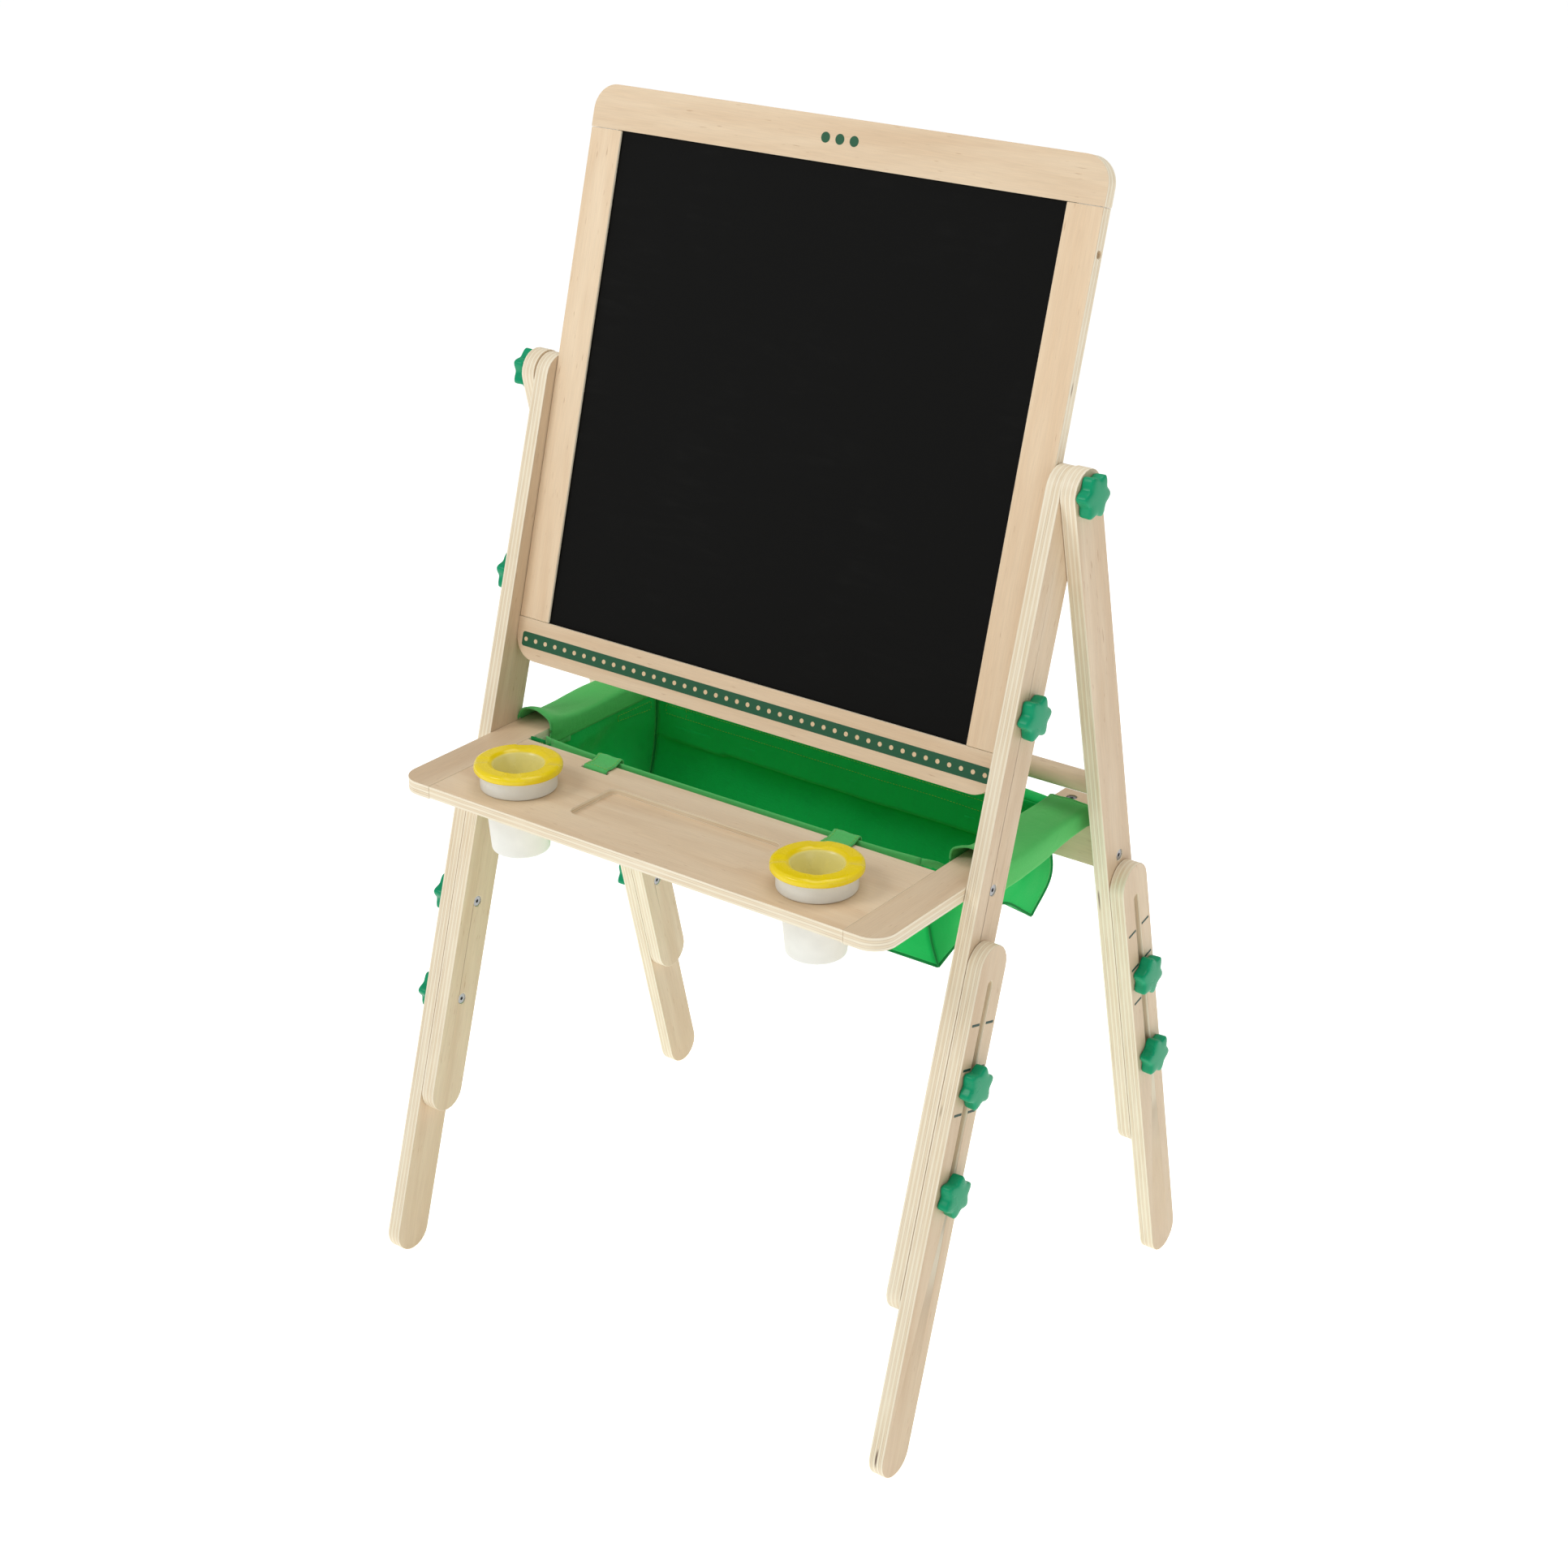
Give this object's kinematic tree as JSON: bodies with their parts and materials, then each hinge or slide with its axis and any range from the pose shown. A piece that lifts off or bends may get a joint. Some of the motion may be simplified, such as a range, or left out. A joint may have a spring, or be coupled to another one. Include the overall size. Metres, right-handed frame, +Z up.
{
  "type": "kids easel",
  "caption": "Child's plywood easel with a flip-over board, height-adjustable legs with star knobs, a shelf with lidded paint cups and a hanging fabric bin.",
  "frame": {"origin": "on the floor under the middle of the easel's bounding box", "axes": "+X to the right of a child facing the chalkboard, +Y towards the back, +Z up"},
  "size_m": [0.6556, 0.4974, 1.1106],
  "materials": {
    "birch_plywood": "clear satin lacquer on birch plywood",
    "dowel_wood": "clear satin lacquer on a round birch dowel",
    "chalk_surface": "matt black chalkboard paint",
    "dry_erase_surface": "glossy white dry-erase laminate",
    "green_plastic": "satin moulded plastic",
    "steel": "zinc plated",
    "clear_plastic": "frosted translucent plastic",
    "yellow_plastic": "translucent yellow plastic",
    "green_canvas": "plain woven canvas"
  },
  "bodies": {
    "frame": {"front_leg_left": "birch_plywood", "front_leg_right": "birch_plywood", "rear_leg_left": "birch_plywood", "rear_leg_right": "birch_plywood", "front_upper_bolt_left": "steel", "front_upper_bolt_right": "steel", "front_lower_bolt_left": "steel", "front_lower_bolt_right": "steel", "rear_upper_bolt_left": "steel", "rear_upper_bolt_right": "steel", "rear_lower_bolt_left": "steel", "rear_lower_bolt_right": "steel", "shelf": "birch_plywood", "rear_cross_board": "birch_plywood", "rear_dowel": "dowel_wood", "shelf_arm_left": "birch_plywood", "shelf_arm_right": "birch_plywood", "arm_bolt_left": "steel", "arm_bolt_right": "steel", "arm_nut_left": "steel", "arm_nut_right": "steel", "cross_bolt_left": "steel", "cross_bolt_right": "steel", "barrel_nut_left": "steel", "barrel_nut_right": "steel", "arm_screw_left": "steel", "arm_screw_right": "steel", "fabric_bin": "green_canvas", "bin_sleeve_left": "green_canvas", "bin_sleeve_right": "green_canvas"},
    "board": {"board_top_rail": "birch_plywood", "board_bottom_rail": "birch_plywood", "board_stile_left": "birch_plywood", "board_stile_right": "birch_plywood", "chalkboard_panel": "chalk_surface", "dry_erase_panel": "dry_erase_surface", "pivot_stud_left": "steel", "pivot_stud_right": "steel"},
    "mid_stud_left": {"mid_stud_left": "steel"},
    "mid_knob_left": {"mid_knob_left": "green_plastic"},
    "pivot_knob_left": {"pivot_knob_left": "green_plastic"},
    "mid_stud_right": {"mid_stud_right": "steel"},
    "mid_knob_right": {"mid_knob_right": "green_plastic"},
    "pivot_knob_right": {"pivot_knob_right": "green_plastic"},
    "front_extension_left": {"front_extension_left": "birch_plywood"},
    "front_upper_knob_left": {"front_upper_knob_left": "green_plastic"},
    "front_lower_knob_left": {"front_lower_knob_left": "green_plastic"},
    "front_extension_right": {"front_extension_right": "birch_plywood"},
    "front_upper_knob_right": {"front_upper_knob_right": "green_plastic"},
    "front_lower_knob_right": {"front_lower_knob_right": "green_plastic"},
    "rear_extension_left": {"rear_extension_left": "birch_plywood"},
    "rear_upper_knob_left": {"rear_upper_knob_left": "green_plastic"},
    "rear_lower_knob_left": {"rear_lower_knob_left": "green_plastic"},
    "rear_extension_right": {"rear_extension_right": "birch_plywood"},
    "rear_upper_knob_right": {"rear_upper_knob_right": "green_plastic"},
    "rear_lower_knob_right": {"rear_lower_knob_right": "green_plastic"},
    "paint_cup_left": {"paint_cup_left": "clear_plastic"},
    "cup_lid_left": {"cup_lid_left": "yellow_plastic"},
    "paint_cup_right": {"paint_cup_right": "clear_plastic"},
    "cup_lid_right": {"cup_lid_right": "yellow_plastic"}
  },
  "joints": [
    {"name": "board_flip", "type": "hinge", "parent": "frame", "child": "board", "pos_m": [0, 0.01261, 0.85], "axis": [1, 0, 0], "continuous": true},
    {"name": "mid_stud_left_pull", "type": "slide", "parent": "frame", "child": "mid_stud_left", "axis": [-1, 0, 0], "range_m": [0, 0.02]},
    {"name": "mid_knob_left_turn", "type": "hinge", "parent": "mid_stud_left", "child": "mid_knob_left", "pos_m": [-0.2915, -0.03779, 0.66577], "axis": [-1, 0, 0], "continuous": true},
    {"name": "pivot_knob_left_turn", "type": "hinge", "parent": "frame", "child": "pivot_knob_left", "pos_m": [-0.3065, 0.01261, 0.85], "axis": [-1, 0, 0], "continuous": true},
    {"name": "mid_stud_right_pull", "type": "slide", "parent": "frame", "child": "mid_stud_right", "axis": [1, 0, 0], "range_m": [0, 0.02]},
    {"name": "mid_knob_right_turn", "type": "hinge", "parent": "mid_stud_right", "child": "mid_knob_right", "pos_m": [0.2915, -0.03779, 0.66577], "axis": [1, 0, 0], "continuous": true},
    {"name": "pivot_knob_right_turn", "type": "hinge", "parent": "frame", "child": "pivot_knob_right", "pos_m": [0.3065, 0.01261, 0.85], "axis": [1, 0, 0], "continuous": true},
    {"name": "front_extension_left_slide", "type": "slide", "parent": "frame", "child": "front_extension_left", "axis": [0, -0.2823, -0.9593], "range_m": [0, 0.09]},
    {"name": "front_upper_knob_left_turn", "type": "hinge", "parent": "frame", "child": "front_upper_knob_left", "pos_m": [-0.3065, -0.12916, 0.35592], "axis": [-1, 0, 0], "continuous": true},
    {"name": "front_lower_knob_left_turn", "type": "hinge", "parent": "frame", "child": "front_lower_knob_left", "pos_m": [-0.3065, -0.15739, 0.25999], "axis": [-1, 0, 0], "continuous": true},
    {"name": "front_extension_right_slide", "type": "slide", "parent": "frame", "child": "front_extension_right", "axis": [0, -0.2823, -0.9593], "range_m": [0, 0.09]},
    {"name": "front_upper_knob_right_turn", "type": "hinge", "parent": "frame", "child": "front_upper_knob_right", "pos_m": [0.3065, -0.12916, 0.35592], "axis": [1, 0, 0], "continuous": true},
    {"name": "front_lower_knob_right_turn", "type": "hinge", "parent": "frame", "child": "front_lower_knob_right", "pos_m": [0.3065, -0.15739, 0.25999], "axis": [1, 0, 0], "continuous": true},
    {"name": "rear_extension_left_slide", "type": "slide", "parent": "frame", "child": "rear_extension_left", "axis": [0, 0.2487, -0.9686], "range_m": [0, 0.09]},
    {"name": "rear_upper_knob_left_turn", "type": "hinge", "parent": "frame", "child": "rear_upper_knob_left", "pos_m": [-0.3215, 0.14256, 0.35269], "axis": [-1, 0, 0], "continuous": true},
    {"name": "rear_lower_knob_left_turn", "type": "hinge", "parent": "frame", "child": "rear_lower_knob_left", "pos_m": [-0.3215, 0.16743, 0.25584], "axis": [-1, 0, 0], "continuous": true},
    {"name": "rear_extension_right_slide", "type": "slide", "parent": "frame", "child": "rear_extension_right", "axis": [0, 0.2487, -0.9686], "range_m": [0, 0.09]},
    {"name": "rear_upper_knob_right_turn", "type": "hinge", "parent": "frame", "child": "rear_upper_knob_right", "pos_m": [0.3215, 0.14256, 0.35269], "axis": [1, 0, 0], "continuous": true},
    {"name": "rear_lower_knob_right_turn", "type": "hinge", "parent": "frame", "child": "rear_lower_knob_right", "pos_m": [0.3215, 0.16743, 0.25584], "axis": [1, 0, 0], "continuous": true},
    {"name": "paint_cup_left_lift", "type": "slide", "parent": "frame", "child": "paint_cup_left", "axis": [0, 0, 1], "range_m": [0, 0.09]},
    {"name": "cup_lid_left_lift", "type": "slide", "parent": "paint_cup_left", "child": "cup_lid_left", "axis": [0, 0, 1], "range_m": [0, 0.04]},
    {"name": "paint_cup_right_lift", "type": "slide", "parent": "frame", "child": "paint_cup_right", "axis": [0, 0, 1], "range_m": [0, 0.09]},
    {"name": "cup_lid_right_lift", "type": "slide", "parent": "paint_cup_right", "child": "cup_lid_right", "axis": [0, 0, 1], "range_m": [0, 0.04]}
  ]
}
